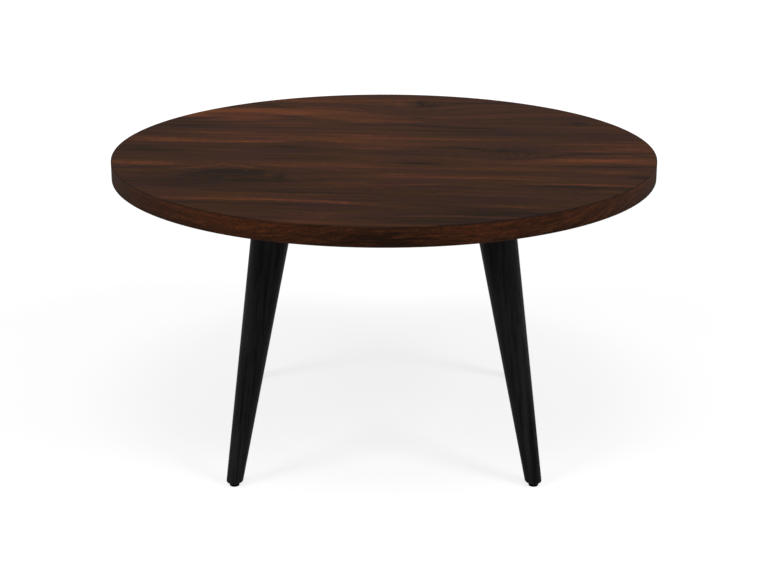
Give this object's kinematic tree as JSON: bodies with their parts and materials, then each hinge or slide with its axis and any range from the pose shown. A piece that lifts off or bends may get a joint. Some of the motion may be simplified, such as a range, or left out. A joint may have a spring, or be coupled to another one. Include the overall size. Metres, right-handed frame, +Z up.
{
  "type": "round cocktail table",
  "caption": "Low round table with a dark walnut veneered top on splayed, tapered black wood legs, each on a screw-in leveller.",
  "frame": {"origin": "on the floor, under the middle of the round top", "axes": "+Z up, -Y the front that the picture shows, +X to the right of it"},
  "size_m": [0.8129, 0.813, 0.449],
  "materials": {
    "walnut_face": "dark walnut veneer, satin lacquer",
    "walnut_edge": "dark red-brown walnut lipping, satin lacquer",
    "walnut_backing": "plain walnut veneer, sealed",
    "core_board": "raw engineered board",
    "black_stained_wood": "black stain, satin lacquer",
    "black_steel": "black powder coat",
    "zinc_steel": "zinc plate",
    "black_nylon": "moulded black nylon"
  },
  "bodies": {
    "table": {"top_core": "core_board", "edge_band": "walnut_edge", "face_veneer": "walnut_face", "backing_veneer": "walnut_backing", "leg_front_left": "black_stained_wood", "leg_front_right": "black_stained_wood", "leg_rear_right": "black_stained_wood", "leg_rear_left": "black_stained_wood", "leg_plate_front_left": "black_steel", "leg_plate_front_right": "black_steel", "leg_plate_rear_right": "black_steel", "leg_plate_rear_left": "black_steel", "leg_screws_front_left": "zinc_steel", "leg_screws_front_right": "zinc_steel", "leg_screws_rear_right": "zinc_steel", "leg_screws_rear_left": "zinc_steel", "plate_screws_front_left": "zinc_steel", "plate_screws_front_right": "zinc_steel", "plate_screws_rear_right": "zinc_steel", "plate_screws_rear_left": "zinc_steel", "top_inserts_front_left": "zinc_steel", "top_inserts_front_right": "zinc_steel", "top_inserts_rear_right": "zinc_steel", "top_inserts_rear_left": "zinc_steel", "foot_insert_front_left": "zinc_steel", "foot_insert_front_right": "zinc_steel", "foot_insert_rear_right": "zinc_steel", "foot_insert_rear_left": "zinc_steel"},
    "leveller_front_left": {"leveller_stud_front_left": "zinc_steel", "leveller_pad_front_left": "black_nylon"},
    "leveller_front_right": {"leveller_stud_front_right": "zinc_steel", "leveller_pad_front_right": "black_nylon"},
    "leveller_rear_right": {"leveller_stud_rear_right": "zinc_steel", "leveller_pad_rear_right": "black_nylon"},
    "leveller_rear_left": {"leveller_stud_rear_left": "zinc_steel", "leveller_pad_rear_left": "black_nylon"}
  },
  "joints": [
    {"name": "leveller_front_left_slide", "type": "slide", "parent": "table", "child": "leveller_front_left", "axis": [0, 0, -1], "range_m": [0, 0.008]},
    {"name": "leveller_front_right_slide", "type": "slide", "parent": "table", "child": "leveller_front_right", "axis": [0, 0, -1], "range_m": [0, 0.008]},
    {"name": "leveller_rear_right_slide", "type": "slide", "parent": "table", "child": "leveller_rear_right", "axis": [0, 0, -1], "range_m": [0, 0.008]},
    {"name": "leveller_rear_left_slide", "type": "slide", "parent": "table", "child": "leveller_rear_left", "axis": [0, 0, -1], "range_m": [0, 0.008]}
  ]
}
